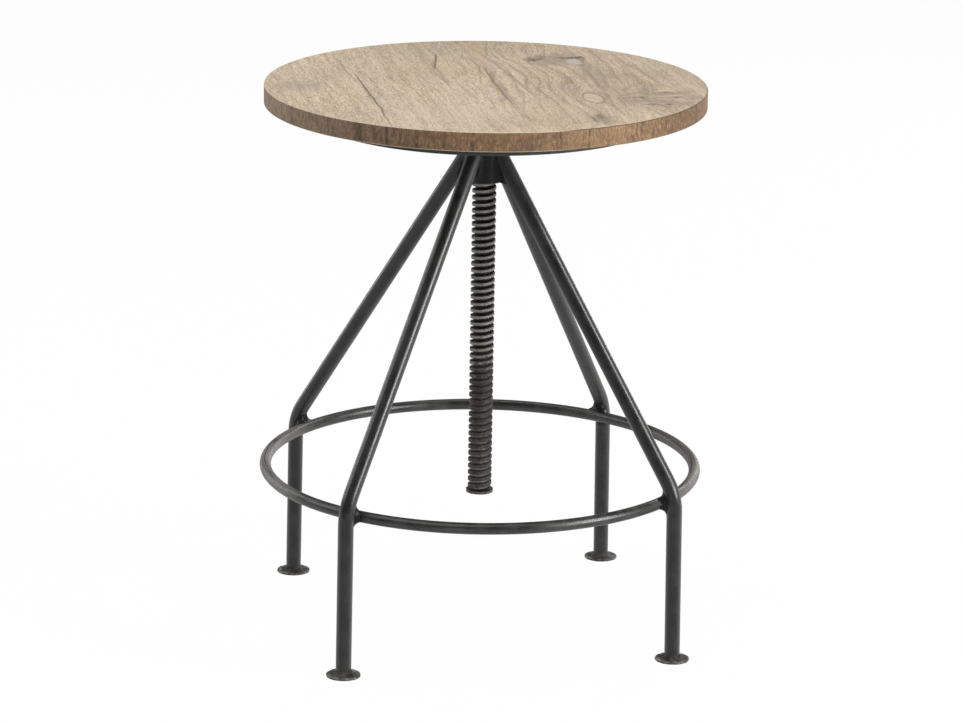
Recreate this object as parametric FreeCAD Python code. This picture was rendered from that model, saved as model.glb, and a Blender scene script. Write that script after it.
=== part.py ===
import FreeCAD, Part
import math
import os

# Bar stool with a round wooden seat on a screw. Millimetres, +Z up.
# The origin is on the floor, on the axis of the screw. The seat is at its lowest.

# Wooden seat
SEAT_HEIGHT = 503.0
SEAT_DIAMETER = 400.0
SEAT_THICKNESS = 17.5
SEAT_EDGE_ROUND = 1.0

# Steel plate under the seat, set back from its edge, and the hoop of flat bar under its rim
PLATE_INSET = 43.0
PLATE_SHEET = 3.0
HOOP_DEPTH = 10.0
HOOP_WALL = 3.0
HOOP_EDGE_ROUND = 0.8

# Wood screws through the plate into the seat
SEAT_SCREW_COUNT = 6
SEAT_SCREW_INSET = 37.0
SEAT_SCREW_DIAMETER = 3.5
SEAT_SCREW_GRIP = 11.0
SEAT_SCREW_HEAD_DIAMETER = 7.5
SEAT_SCREW_HEAD_HEIGHT = 2.4

# Threaded spindle, single start, right hand
SPINDLE_DIAMETER = 22.0
SPINDLE_LENGTH = 360.0
SPINDLE_END_CHAMFER = 3.0
NECK_STEP = 0.5
NECK_BELOW_WELD = 1.0

# Its thread, with the widths of crest, shoulders and root as shares of the pitch
THREAD_PITCH = 6.2
THREAD_DEPTH = 2.9
THREAD_SHOULDER_DROP = 0.5
THREAD_CREST_SHARE = 0.38
THREAD_SHOULDER_SHARE = 0.11
THREAD_ROOT_SHARE = 0.22
THREAD_PLAY = 0.3

# Stop washer at the spindle's lower end, and its countersunk screw
WASHER_OVERHANG = 1.5
WASHER_LIP = 0.3
END_SCREW_DIAMETER = 5.0
END_SCREW_HEAD_DIAMETER = 9.4
END_SCREW_GRIP = 14.0
END_PLAY = 0.2

# Hub around the spindle
HUB_WALL = 7.0
HUB_HEIGHT = 62.5
HUB_EDGE_CHAMFER = 1.0
HUB_TOP_GAP = 1.5

# Legs, bent just above the ring and coped to the hub
LEG_NAMES = ("front_right", "back_right", "back_left", "front_left")
FIRST_LEG_ANGLE = -45.0
LEG_DIAMETER = 14.0
LEG_FOOT_RADIUS = 213.0
LEG_SPLAY_ANGLE = 0.8
LEG_BEND_RADIUS = 50.0
LEG_BEND_ABOVE_RING = 8.5
LEG_MEETS_HUB_ABOVE = 24.0

# Footrest ring inside the legs
RING_HEIGHT = 146.0
RING_ROD_DIAMETER = 10.4

# Foot discs
FOOT_DIAMETER = 31.0
FOOT_THICKNESS = 1.5
FOOT_EDGE_ROUND = 0.5

# Weld beads
WELD_ROOT_GAP = 0.4
RING_WELD_WIDTH = 18.0
RING_WELD_DEPTH = 9.0
FOOT_WELD_LEG = 3.0
HUB_WELD_LEG = 4.5
SPINDLE_WELD_LEG = 3.0

# Clearance of the screws in their holes
TAPPED_CLEARANCE = 0.05
DRILLED_CLEARANCE = 0.3

# Radii that follow
seat_radius = SEAT_DIAMETER / 2
plate_radius = seat_radius - PLATE_INSET
spindle_radius = SPINDLE_DIAMETER / 2
neck_radius = spindle_radius + NECK_STEP
washer_radius = spindle_radius + WASHER_OVERHANG
hub_radius = spindle_radius + HUB_WALL
leg_radius = LEG_DIAMETER / 2
ring_rod_radius = RING_ROD_DIAMETER / 2
seat_screw_radius = SEAT_SCREW_DIAMETER / 2
end_screw_radius = END_SCREW_DIAMETER / 2
end_screw_head_radius = END_SCREW_HEAD_DIAMETER / 2

# Heights that follow, from the seat down
seat_bottom = SEAT_HEIGHT - SEAT_THICKNESS
plate_bottom = seat_bottom - PLATE_SHEET
hoop_bottom = plate_bottom - HOOP_DEPTH
neck_bottom = plate_bottom - SPINDLE_WELD_LEG - NECK_BELOW_WELD
hub_top = neck_bottom - HUB_TOP_GAP
hub_bottom = hub_top - HUB_HEIGHT
spindle_bottom = plate_bottom - SPINDLE_LENGTH
end_screw_head_height = end_screw_head_radius - end_screw_radius
washer_thickness = end_screw_head_height + WASHER_LIP
washer_bottom = spindle_bottom - END_PLAY - washer_thickness

Vector = FreeCAD.Vector
ORIGIN = Vector(0, 0, 0)
UP = Vector(0, 0, 1)


def save(name, *solids):
    """Write one named sub-part, as one solid or as a group of like solids."""
    shape = solids[0] if len(solids) == 1 else Part.Compound(solids)
    shape.exportStep("parts/" + name + ".step")


def at(height):
    """A point on the axis of the stool."""
    return Vector(0, 0, height)


def turned(places):
    """The solid made by turning a closed outline of (radius, height) places about the axis."""
    corners = [Vector(radius, 0, height) for radius, height in places]
    outline = Part.Face(Part.makePolygon(corners + corners[:1]))
    return outline.revolve(ORIGIN, UP, 360)


def level_edges(shape, height):
    """The edges of a shape that lie at one height."""
    nearly = 1e-6
    found = []
    for edge in shape.Edges:
        box = edge.BoundBox
        if abs(box.ZMin - height) < nearly and abs(box.ZMax - height) < nearly:
            found.append(edge)
    return found


def around(shape):
    """A copy of a shape for each leg, turned about the axis from +X to that leg."""
    copies = []
    for n in range(len(LEG_NAMES)):
        copy = shape.copy()
        copy.rotate(ORIGIN, UP, FIRST_LEG_ANGLE + n * 360.0 / len(LEG_NAMES))
        copies.append(copy)
    return copies


def seat_screw_places():
    """Centres of the wood screws at the plate's underside."""
    radius = plate_radius - SEAT_SCREW_INSET
    places = []
    for n in range(SEAT_SCREW_COUNT):
        angle = 2 * math.pi * n / SEAT_SCREW_COUNT
        places.append(Vector(radius * math.cos(angle), radius * math.sin(angle), plate_bottom))
    return places


def seat_board():
    """Round wooden seat with rounded arrises and pilot holes in its underside."""
    board = Part.makeCylinder(seat_radius, SEAT_THICKNESS, at(seat_bottom))
    arrises = level_edges(board, SEAT_HEIGHT) + level_edges(board, seat_bottom)
    board = board.makeFillet(SEAT_EDGE_ROUND, arrises)
    pilot_radius = seat_screw_radius + TAPPED_CLEARANCE
    depth = PLATE_SHEET + SEAT_SCREW_GRIP + TAPPED_CLEARANCE
    for place in seat_screw_places():
        board = board.cut(Part.makeCylinder(pilot_radius, depth, place))
    return board


def seat_plate():
    """Flat steel disc, drilled for the wood screws."""
    plate = Part.makeCylinder(plate_radius, PLATE_SHEET, at(plate_bottom))
    hole_radius = seat_screw_radius + DRILLED_CLEARANCE
    for place in seat_screw_places():
        plate = plate.cut(Part.makeCylinder(hole_radius, PLATE_SHEET, place))
    return plate


def plate_hoop():
    """Hoop of flat bar under the rim of the plate, rounded on its lower edges."""
    outside = Part.makeCylinder(plate_radius, HOOP_DEPTH, at(hoop_bottom))
    inside = Part.makeCylinder(plate_radius - HOOP_WALL, HOOP_DEPTH, at(hoop_bottom))
    hoop = outside.cut(inside)
    return hoop.makeFillet(HOOP_EDGE_ROUND, level_edges(hoop, hoop_bottom))


def seat_screws():
    """Wood screws with rounded heads under the plate."""
    screws = []
    for place in seat_screw_places():
        face = place - UP * SEAT_SCREW_HEAD_HEIGHT
        head = Part.makeCylinder(SEAT_SCREW_HEAD_DIAMETER / 2, SEAT_SCREW_HEAD_HEIGHT, face)
        head = head.makeFillet(SEAT_SCREW_HEAD_HEIGHT / 2, level_edges(head, face.z))
        shank = Part.makeCylinder(seat_screw_radius, PLATE_SHEET + SEAT_SCREW_GRIP, place)
        screws.append(head.fuse(shank))
    return screws


def thread_outline(play):
    """The ridge of the thread as (height from its middle, radius) places, larger by play."""
    crest = THREAD_CREST_SHARE * THREAD_PITCH / 2
    shoulder = crest + THREAD_SHOULDER_SHARE * THREAD_PITCH
    foot = (1 - THREAD_ROOT_SHARE) * THREAD_PITCH / 2
    rising = [
        (-foot - play, spindle_radius - THREAD_DEPTH + play),
        (-shoulder - play, spindle_radius - THREAD_SHOULDER_DROP + play),
        (-crest - play, spindle_radius + play),
    ]
    falling = [(-height, radius) for height, radius in reversed(rising)]
    return rising + falling


def one_turn(radius, height):
    """One turn of a right-hand helix of the thread's pitch."""
    turn = Part.makeHelix(THREAD_PITCH, THREAD_PITCH, radius).Edges[0]
    turn.translate(at(height))
    return turn


def screw_body(play, bottom, top):
    """A screw that covers the heights from bottom to top, with more turns at both ends.

    Each face is ruled between two helices, turn by turn. Every such screw winds from the
    plate's level, so that the spindle's ridge lies in the hub's groove.
    """
    outline = thread_outline(play)
    spare_turns = 2
    first_turn = math.floor((bottom - plate_bottom) / THREAD_PITCH) - spare_turns
    turns = math.ceil((top - bottom) / THREAD_PITCH) + 2 * spare_turns
    levels = [plate_bottom + (first_turn + n) * THREAD_PITCH for n in range(turns + 1)]
    rows = []
    for level in levels:
        rows.append([one_turn(radius, level + height) for height, radius in outline])
    faces = []
    for row, next_row in zip(rows, rows[1:]):
        lines = row + next_row[:1]
        faces += [Part.makeRuledSurface(low, high) for low, high in zip(lines, lines[1:])]
    for row, level in ((rows[0], levels[0]), (rows[-1], levels[-1])):
        corners = [Vector(radius, 0, level + height) for height, radius in outline]
        corners.append(corners[0] + UP * THREAD_PITCH)
        low, high = at(corners[0].z), at(corners[-1].z)
        faces.append(Part.makeRuledSurface(Part.makeLine(low, high), row[0]))
        faces.append(Part.Face(Part.makePolygon([low] + corners + [high, low])))
    skin = Part.Compound(faces)
    skin.sewShape(1e-3)
    body = Part.Solid(skin.Shells[0])
    if body.Volume < 0:
        body.reverse()
    return body


def spindle():
    """Threaded bar with a plain neck at the plate and a chamfered lower end, tapped for its screw."""
    end_radius = spindle_radius - SPINDLE_END_CHAMFER
    blank = turned(
        [
            (0, spindle_bottom),
            (end_radius, spindle_bottom),
            (neck_radius, spindle_bottom + neck_radius - end_radius),
            (neck_radius, neck_bottom),
            (0, neck_bottom),
        ]
    )
    bar = screw_body(0, spindle_bottom, neck_bottom).common(blank)
    bar = bar.fuse(Part.makeCylinder(neck_radius, plate_bottom - neck_bottom, at(neck_bottom)))
    hole_radius = end_screw_radius + TAPPED_CLEARANCE
    bar = bar.cut(Part.makeCylinder(hole_radius, END_SCREW_GRIP, at(spindle_bottom)))
    return bar.Solids[0]


def spindle_weld():
    """Fillet weld between the neck of the spindle and the plate."""
    return turned(
        [
            (neck_radius, plate_bottom - SPINDLE_WELD_LEG),
            (neck_radius + SPINDLE_WELD_LEG, plate_bottom),
            (neck_radius, plate_bottom),
        ]
    )


def end_screw_head(play):
    """The countersunk head of the end screw, larger by play."""
    low_radius = end_screw_head_radius + play
    high_radius = end_screw_radius + play
    return Part.makeCone(low_radius, high_radius, end_screw_head_height, at(washer_bottom))


def stop_washer():
    """Disc that keeps the spindle from being wound out of the hub, free to turn."""
    washer = Part.makeCylinder(washer_radius, washer_thickness, at(washer_bottom))
    bore = Part.makeCylinder(end_screw_radius + END_PLAY, washer_thickness, at(washer_bottom))
    return washer.cut(bore).cut(end_screw_head(END_PLAY))


def end_screw():
    """Countersunk screw in the spindle's lower end, flush with the washer."""
    length = spindle_bottom - washer_bottom + END_SCREW_GRIP - TAPPED_CLEARANCE
    shank = Part.makeCylinder(end_screw_radius, length, at(washer_bottom))
    return shank.fuse(end_screw_head(0)).removeSplitter()


def hub_block():
    """The hub before its thread is cut."""
    block = Part.makeCylinder(hub_radius, HUB_HEIGHT, at(hub_bottom))
    rims = level_edges(block, hub_bottom) + level_edges(block, hub_top)
    return block.makeChamfer(HUB_EDGE_CHAMFER, rims)


def hub():
    """Collar with the spindle's thread cut through it."""
    return hub_block().cut(screw_body(THREAD_PLAY, hub_bottom, hub_top)).Solids[0]


class LegLine:
    """The middle line of a leg, as (radius, height) places.

    It rises from the foot, leaning in by the splay angle, rounds the bend above the ring, and
    runs straight on to where it meets the hub.
    """

    def __init__(self):
        splay = math.radians(LEG_SPLAY_ANGLE)
        corner_height = RING_HEIGHT + LEG_BEND_ABOVE_RING
        self.corner = (LEG_FOOT_RADIUS - math.tan(splay) * corner_height, corner_height)
        self.meeting = (hub_radius, hub_bottom + LEG_MEETS_HUB_ABOVE)
        lean = math.atan2(self.corner[0] - self.meeting[0], self.meeting[1] - self.corner[1])
        self.low_way = (-math.sin(splay), math.cos(splay))
        self.high_way = (-math.sin(lean), math.cos(lean))
        self.low_out = (math.cos(splay), math.sin(splay))
        self.high_out = (math.cos(lean), math.sin(lean))
        tangent = LEG_BEND_RADIUS * math.tan((lean - splay) / 2)
        self.low_end = self.along(self.corner, self.low_way, -tangent)
        self.high_end = self.along(self.corner, self.high_way, tangent)
        self.centre = self.along(self.low_end, self.low_out, -LEG_BEND_RADIUS)
        middle_turn = (lean + splay) / 2
        middle_out = (math.cos(middle_turn), math.sin(middle_turn))
        self.middle = self.along(self.centre, middle_out, LEG_BEND_RADIUS)

    @staticmethod
    def along(place, way, distance):
        return (place[0] + way[0] * distance, place[1] + way[1] * distance)

    @staticmethod
    def at_height(place, way, height):
        """Where the straight line through a place reaches a height."""
        return LegLine.along(place, way, (height - place[1]) / way[1])

    def inside(self, offset, height):
        """The place at a height that lies inside the line by an offset, and the way out to it."""
        low_end = self.along(self.low_end, self.low_out, -offset)
        high_end = self.along(self.high_end, self.high_out, -offset)
        if height <= low_end[1]:
            return self.at_height(low_end, self.low_way, height), self.low_out
        if height >= high_end[1]:
            return self.at_height(high_end, self.high_way, height), self.high_out
        rise = height - self.centre[1]
        reach = LEG_BEND_RADIUS - offset
        run = math.sqrt(reach * reach - rise * rise)
        return (self.centre[0] + run, height), (run / reach, rise / reach)


def in_plane(pair):
    """A (radius, height) pair as a vector in the plane of the leg that lies towards +X."""
    return Vector(pair[0], 0, pair[1])


leg_line = LegLine()
foot_place = leg_line.at_height(leg_line.corner, leg_line.low_way, FOOT_THICKNESS)
ring_offset = leg_radius + WELD_ROOT_GAP + ring_rod_radius
ring_place, ring_way_out = leg_line.inside(ring_offset, RING_HEIGHT)


def leg():
    """Round bar, bent once, cut flat on its foot disc and coped to the hub. It lies towards +X."""
    start = in_plane(leg_line.along(foot_place, leg_line.low_way, -LEG_DIAMETER))
    low_end = in_plane(leg_line.low_end)
    high_end = in_plane(leg_line.high_end)
    finish = in_plane(leg_line.along(leg_line.meeting, leg_line.high_way, hub_radius))
    bend = Part.Arc(low_end, in_plane(leg_line.middle), high_end).toShape()
    path = Part.Wire([Part.makeLine(start, low_end), bend, Part.makeLine(high_end, finish)])
    section = Part.Wire(Part.makeCircle(leg_radius, start, in_plane(leg_line.low_way)))
    bar = path.makePipeShell([section], True, False)
    reach = 2 * LEG_DIAMETER
    corner = Vector(foot_place[0] - reach, -reach, FOOT_THICKNESS - reach)
    below_foot = Part.makeBox(2 * reach, 2 * reach, reach, corner)
    return bar.cut(below_foot).cut(hub_block()).Solids[0]


def footrest_ring():
    """Closed ring of round bar, inside the legs."""
    return Part.makeTorus(ring_place[0], ring_rod_radius, at(ring_place[1]), UP)


def foot():
    """Disc under a leg, rounded on its upper edge."""
    pad = Part.makeCylinder(FOOT_DIAMETER / 2, FOOT_THICKNESS, in_plane((foot_place[0], 0)))
    return pad.makeFillet(FOOT_EDGE_ROUND, level_edges(pad, FOOT_THICKNESS))


def ring_weld(leg_bar, ring):
    """Lens-shaped bead in the crevice between a leg and the ring."""
    way_out = in_plane(ring_way_out)
    middle = in_plane(ring_place) + way_out * (ring_rod_radius + WELD_ROOT_GAP / 2)
    half_depth = RING_WELD_DEPTH / 2
    half_width = RING_WELD_WIDTH / 2
    ball_radius = (half_width**2 + half_depth**2) / (2 * half_depth)
    shift = way_out * (ball_radius - half_depth)
    outer_ball = Part.makeSphere(ball_radius, middle - shift)
    inner_ball = Part.makeSphere(ball_radius, middle + shift)
    return outer_ball.common(inner_ball).cut(leg_bar).cut(ring).Solids[0]


def foot_weld(leg_bar):
    """Sloping bead around the end of a leg on its foot disc."""
    low_radius = leg_radius + FOOT_WELD_LEG
    high_radius = leg_radius - FOOT_WELD_LEG
    bead = Part.makeCone(low_radius, high_radius, 2 * FOOT_WELD_LEG, in_plane(foot_place))
    return bead.cut(leg_bar).Solids[0]


def hub_weld(leg_bar):
    """Bead along the seam where a leg is coped to the hub."""
    start = in_plane(leg_line.along(leg_line.meeting, leg_line.high_way, -2 * LEG_DIAMETER))
    way = in_plane(leg_line.high_way)
    near_leg = Part.makeCylinder(leg_radius + HUB_WELD_LEG, 2 * LEG_DIAMETER + hub_radius, start, way)
    near_hub = Part.makeCylinder(hub_radius + HUB_WELD_LEG, HUB_HEIGHT, at(hub_bottom))
    return near_leg.common(near_hub).cut(hub_block()).cut(leg_bar).Solids[0]


os.makedirs("parts", exist_ok=True)

save("seat_board", seat_board())
save("seat_plate", seat_plate())
save("plate_hoop", plate_hoop())
save("seat_screws", *seat_screws())
save("spindle", spindle())
save("spindle_weld", spindle_weld())
save("stop_washer", stop_washer())
save("end_screw", end_screw())
save("hub", hub())

leg_bar = leg()
ring = footrest_ring()
for name, leg_copy, foot_copy in zip(LEG_NAMES, around(leg_bar), around(foot())):
    save("leg_" + name, leg_copy)
    save("foot_" + name, foot_copy)
save("footrest_ring", ring)
save("ring_welds", *around(ring_weld(leg_bar, ring)))
save("foot_welds", *around(foot_weld(leg_bar)))
save("hub_welds", *around(hub_weld(leg_bar)))
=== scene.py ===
import bpy
import math
from mathutils import Matrix, Vector


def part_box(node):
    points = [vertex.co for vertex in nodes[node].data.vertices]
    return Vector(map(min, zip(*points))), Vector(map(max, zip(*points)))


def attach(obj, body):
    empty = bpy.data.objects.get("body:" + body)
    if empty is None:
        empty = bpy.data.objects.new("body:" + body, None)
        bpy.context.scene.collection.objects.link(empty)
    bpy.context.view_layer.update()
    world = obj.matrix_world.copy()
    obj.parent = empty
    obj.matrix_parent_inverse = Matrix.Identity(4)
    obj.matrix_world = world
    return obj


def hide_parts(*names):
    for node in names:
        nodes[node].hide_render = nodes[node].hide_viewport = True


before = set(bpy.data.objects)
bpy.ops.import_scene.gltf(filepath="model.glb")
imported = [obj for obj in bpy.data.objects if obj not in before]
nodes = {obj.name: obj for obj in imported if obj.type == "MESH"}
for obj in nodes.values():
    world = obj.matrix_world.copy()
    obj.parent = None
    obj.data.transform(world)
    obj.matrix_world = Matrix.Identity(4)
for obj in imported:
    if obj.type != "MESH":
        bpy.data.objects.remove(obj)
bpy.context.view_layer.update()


# Hub: a collar of thick steel tube, threaded inside for the spindle, its rims chamfered. It has the
# finish of the whole frame, a thin charcoal coat, mottled and a little rough, but painted darker as the
# seat's shade.
def fill(tree, socket, value):
    """Links an input socket to another node's output, or gives it a fixed value."""
    if isinstance(value, bpy.types.NodeSocket):
        tree.links.new(value, socket)
    else:
        socket.default_value = value


def node(tree, kind, inputs, **settings):
    """Adds a shader node with its settings, and fills its inputs by name or number."""
    made = tree.nodes.new("ShaderNode" + kind)
    for name, value in settings.items():
        setattr(made, name, value)
    for name, value in inputs.items():
        fill(tree, made.inputs[name], value)
    return made


def maths(tree, operation, *values):
    """The output of a Math node."""
    made = tree.nodes.new("ShaderNodeMath")
    made.operation = operation
    for socket, value in zip(made.inputs, values):
        fill(tree, socket, value)
    return made.outputs["Value"]


def noise(tree, place, size, detail=3.0, roughness=0.5):
    """Noise from 0 to 1, with lumps of this size in metres along X, Y and Z."""
    scale = [1 / length for length in size]
    mapping = node(tree, "Mapping", {"Vector": place, "Scale": scale})
    inputs = {"Vector": mapping.outputs["Vector"], "Scale": 1.0, "Detail": detail, "Roughness": roughness}
    return node(tree, "TexNoise", inputs).outputs[0]


def step(tree, value, low, high):
    """A soft step from 0 at low to 1 at high, or falling where high is the smaller."""
    inputs = {"Value": value, "From Min": low, "From Max": high}
    return node(tree, "MapRange", inputs, interpolation_type="SMOOTHSTEP").outputs["Result"]


def mixed(tree, share, first, second, blend="MIX"):
    """Two colours mixed, with a share of the second."""
    made = tree.nodes.new("ShaderNodeMix")
    made.data_type = "RGBA"
    made.blend_type = blend
    for index, value in ((0, share), (6, first), (7, second)):
        fill(tree, made.inputs[index], value)
    return made.outputs[2]


def times(tree, *values):
    """The product of two or more values."""
    product = values[0]
    for value in values[1:]:
        product = maths(tree, "MULTIPLY", product, value)
    return product


def split(tree, place):
    """The X, Y and Z of a place."""
    return node(tree, "SeparateXYZ", {"Vector": place}).outputs


def colour(red, green, blue):
    """A colour as it shows on screen, from 0 to 255, in the linear values that shaders take."""
    return [((part / 255 + 0.055) / 1.055) ** 2.4 for part in (red, green, blue)] + [1.0]


def new_group(name, inputs, outputs):
    """A node group with sockets of these kinds, and the sockets of its input and output nodes."""
    tree = bpy.data.node_groups.new(name, "ShaderNodeTree")
    for socket, kind in inputs.items():
        tree.interface.new_socket(socket, in_out="INPUT", socket_type="NodeSocket" + kind)
    for socket, kind in outputs.items():
        tree.interface.new_socket(socket, in_out="OUTPUT", socket_type="NodeSocket" + kind)
    return tree, tree.nodes.new("NodeGroupInput").outputs, tree.nodes.new("NodeGroupOutput").inputs


def use_group(tree, group, inputs):
    """Places a node group in a tree, and returns its outputs."""
    made = tree.nodes.new("ShaderNodeGroup")
    made.node_tree = group
    for name, value in inputs.items():
        fill(tree, made.inputs[name], value)
    return made.outputs


def new_material(name):
    """A new material, its node tree and its Principled shader."""
    material = bpy.data.materials.new(name)
    material.use_nodes = True
    return material, material.node_tree, material.node_tree.nodes["Principled BSDF"]


def bump(tree, shader, height, distance, strength=1.0):
    """Raises the shaded surface by a height from 0 to 1 over a distance in metres."""
    made = node(tree, "Bump", {"Height": height, "Distance": distance, "Strength": strength})
    tree.links.new(made.outputs["Normal"], shader.inputs["Normal"])


def paint(material, *pieces):
    """Gives pieces a material in place of what they had."""
    for piece in pieces:
        piece.data.materials.clear()
        piece.data.materials.append(material)


blackened, given, result = new_group(
    "Blackened steel",
    {"Place": "Vector", "Dark": "Color", "Pale": "Color", "Specks": "Float"},
    {"Colour": "Color", "Roughness": "Float", "Height": "Float"},
)
cloud = noise(blackened, given["Place"], (0.014, 0.014, 0.014), 5.0, 0.62)
peel = noise(blackened, given["Place"], (0.0016, 0.0016, 0.0016), 2.0)
specks = step(blackened, noise(blackened, given["Place"], (0.0022, 0.0022, 0.0022), 3.0, 0.7), 0.60, 0.72)
specks = times(blackened, specks, given["Specks"])
coat = mixed(blackened, step(blackened, cloud, 0.34, 0.68), given["Dark"], given["Pale"])
coat = mixed(blackened, specks, coat, colour(126, 122, 116))
blackened.links.new(coat, result["Colour"])
blackened.links.new(maths(blackened, "MULTIPLY_ADD", cloud, 0.24, 0.24), result["Roughness"])
height = maths(blackened, "MULTIPLY_ADD", cloud, 0.4, times(blackened, peel, 0.6))
blackened.links.new(height, result["Height"])


def black_steel(name, dark, pale, specks, relief, gloss=0.5, blur=0.0, dust_and_sheen=0.0, matt_from=9.0):
    """Blackened steel between two tones, with a share of pale specks and a relief in metres.

    The gloss is the shader's specular level, blur adds to the roughness, and dust_and_sheen is the share of
    a grey film that shows where the surface turns away: dust, and a painted sheen at grazing angles. From a
    height on, the coat turns matt.
    """
    material, tree, shader = new_material(name)
    shader.inputs["Specular IOR Level"].default_value = gloss
    place = node(tree, "TexCoord", {}).outputs["Object"]
    finish = use_group(tree, blackened, {"Place": place, "Dark": dark, "Pale": pale, "Specks": specks})
    # A grey film where the surface turns from view: dust, and a painted sheen of the bright surroundings.
    turned_away = node(tree, "LayerWeight", {"Blend": 0.5}).outputs["Facing"]
    dust_and_sheen_share = times(tree, step(tree, turned_away, 0.10, 0.60), dust_and_sheen)
    tone = mixed(tree, dust_and_sheen_share, finish["Colour"], colour(70, 70, 69))
    tree.links.new(tone, shader.inputs["Base Color"])
    matt = step(tree, split(tree, place)["Z"], matt_from, matt_from + 0.08)
    roughness = maths(tree, "ADD", finish["Roughness"], maths(tree, "MULTIPLY_ADD", matt, 0.25, blur))
    tree.links.new(roughness, shader.inputs["Roughness"])
    bump(tree, shader, finish["Height"], relief)
    return material


# The hub's coat is the frame's, painted darker as the shade under the seat; its weld beads share it.
shaded_hub_steel = black_steel(
    "Hub steel, painted shade",
    dark=colour(10, 10, 11),
    pale=colour(22, 22, 23),
    specks=0.05,
    relief=0.00025,
    gloss=0.2,
)
paint(shaded_hub_steel, nodes["hub"])


# Legs: four round bars of mild steel, each bent once just above the ring, coped to the hub and cut
# square on its foot. The coat is charcoal and finely hammered, with a few pale specks and a grey film where
# the bars turn from view, partly dust and partly a painted sheen.
LEG_PLACES = ("front_right", "back_right", "back_left", "front_left")
LEG_ANGLES = [math.radians(angle) for angle in (-45, 45, 135, 225)]
leg_steel = black_steel(
    "Leg steel",
    dark=colour(19, 19, 20),
    pale=colour(38, 38, 37),
    specks=0.08,
    relief=0.00008,
    gloss=0.55,
    blur=-0.06,
    dust_and_sheen=1.0,
    matt_from=0.37,
)
paint(leg_steel, *[nodes["leg_" + place] for place in LEG_PLACES])


# Hub welds: metal run by hand into the corners between the legs and the hub, smoothed and coated over,
# so that hub and legs flow into each other.
def only(piece):
    """Makes one object the active and only selected one."""
    bpy.ops.object.select_all(action="DESELECT")
    piece.select_set(True)
    bpy.context.view_layer.objects.active = piece


def reshape(piece, kind, **settings):
    """Adds a modifier to a piece and applies it."""
    only(piece)
    change = piece.modifiers.new(kind, kind)
    for name, value in settings.items():
        setattr(change, name, value)
    bpy.ops.object.modifier_apply(modifier=change.name)


def trim(piece, cutter, operation):
    """Keeps what a piece shares with a cutter, or cuts the cutter out of it."""
    reshape(piece, "BOOLEAN", object=cutter, operation=operation, solver="EXACT")
    bpy.data.objects.remove(cutter)


def roughen(piece, height, size, direction="NORMAL"):
    """Raises and sinks a piece's surface by up to half a height, in lumps of a size."""
    lumps = bpy.data.textures.new(piece.name + "_lumps", "CLOUDS")
    lumps.noise_scale = size
    reshape(piece, "DISPLACE", texture=lumps, texture_coords="LOCAL", direction=direction, strength=height)


def rod(radius, bottom, top, middle=(0, 0), sides=96):
    """An upright cylinder between two heights, with its axis at a place."""
    place = (middle[0], middle[1], (bottom + top) / 2)
    bpy.ops.object.select_all(action="DESELECT")
    bpy.ops.mesh.primitive_cylinder_add(vertices=sides, radius=radius, depth=top - bottom, location=place)
    bpy.ops.object.transform_apply(location=True, rotation=True, scale=True)
    return bpy.context.object


def node_copy(name):
    """A copy of a CAD node as one closed mesh."""
    piece = bpy.data.objects.new(name + "_copy", nodes[name].data.copy())
    bpy.context.scene.collection.objects.link(piece)
    only(piece)
    bpy.ops.object.mode_set(mode="EDIT")
    bpy.ops.mesh.select_all(action="SELECT")
    bpy.ops.mesh.remove_doubles(threshold=1e-6)
    bpy.ops.object.mode_set(mode="OBJECT")
    return piece


def joined(name, pieces):
    """Several pieces as one, named, with its origin at that of the stool."""
    bpy.ops.object.select_all(action="DESELECT")
    for piece in pieces:
        piece.select_set(True)
    bpy.context.view_layer.objects.active = pieces[0]
    bpy.ops.object.join()
    bpy.ops.object.transform_apply(location=True, rotation=True, scale=True)
    whole = bpy.context.object
    whole.name = name
    return whole


def weld_metal(name, pieces, radius, voxel, sink):
    """Metal that rounds out the corners between pieces to a radius, and elsewhere lies sunk under them."""
    metal = joined(name, pieces)
    reshape(metal, "REMESH", mode="VOXEL", voxel_size=voxel)
    reshape(metal, "DISPLACE", strength=radius, mid_level=0.0)
    reshape(metal, "REMESH", mode="VOXEL", voxel_size=voxel)
    reshape(metal, "SMOOTH", factor=0.5, iterations=4)
    reshape(metal, "DISPLACE", strength=-radius - sink, mid_level=0.0)
    reshape(metal, "REMESH", mode="VOXEL", voxel_size=voxel)
    reshape(metal, "SMOOTH", factor=0.5, iterations=6)
    return metal


def fit_piece(piece, body, slot, material, *replaced):
    paint(material, piece)
    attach(piece, body)
    if replaced:
        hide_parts(*replaced)


HUB_CORNER = 0.008
HUB_REACH = 0.044
HUB_SKIRT = 0.02
HUB_TRIM = 0.005
HUB_VOXEL = 0.0007
INSIDE_WALL = 0.0145
BEAD_SINK = 0.0003
low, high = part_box("hub")
hub_parts = [rod(high.x, low.z, high.z)]
for leg_place in LEG_PLACES:
    leg_top = node_copy("leg_" + leg_place)
    trim(leg_top, rod(HUB_REACH, low.z - HUB_SKIRT, high.z), "INTERSECT")
    hub_parts.append(leg_top)
hub_beads = weld_metal("hub_weld_beads", hub_parts, HUB_CORNER, HUB_VOXEL, BEAD_SINK)
bead_bottom = low.z - HUB_SKIRT + HUB_TRIM
trim(hub_beads, rod(HUB_REACH - HUB_TRIM, bead_bottom, high.z - BEAD_SINK), "INTERSECT")
trim(hub_beads, rod(INSIDE_WALL, low.z - 0.03, high.z + 0.01), "DIFFERENCE")
roughen(hub_beads, height=0.0005, size=0.006)
bpy.ops.object.shade_smooth()
fit_piece(hub_beads, "frame", "black_steel", shaded_hub_steel, "hub_welds")


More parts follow.
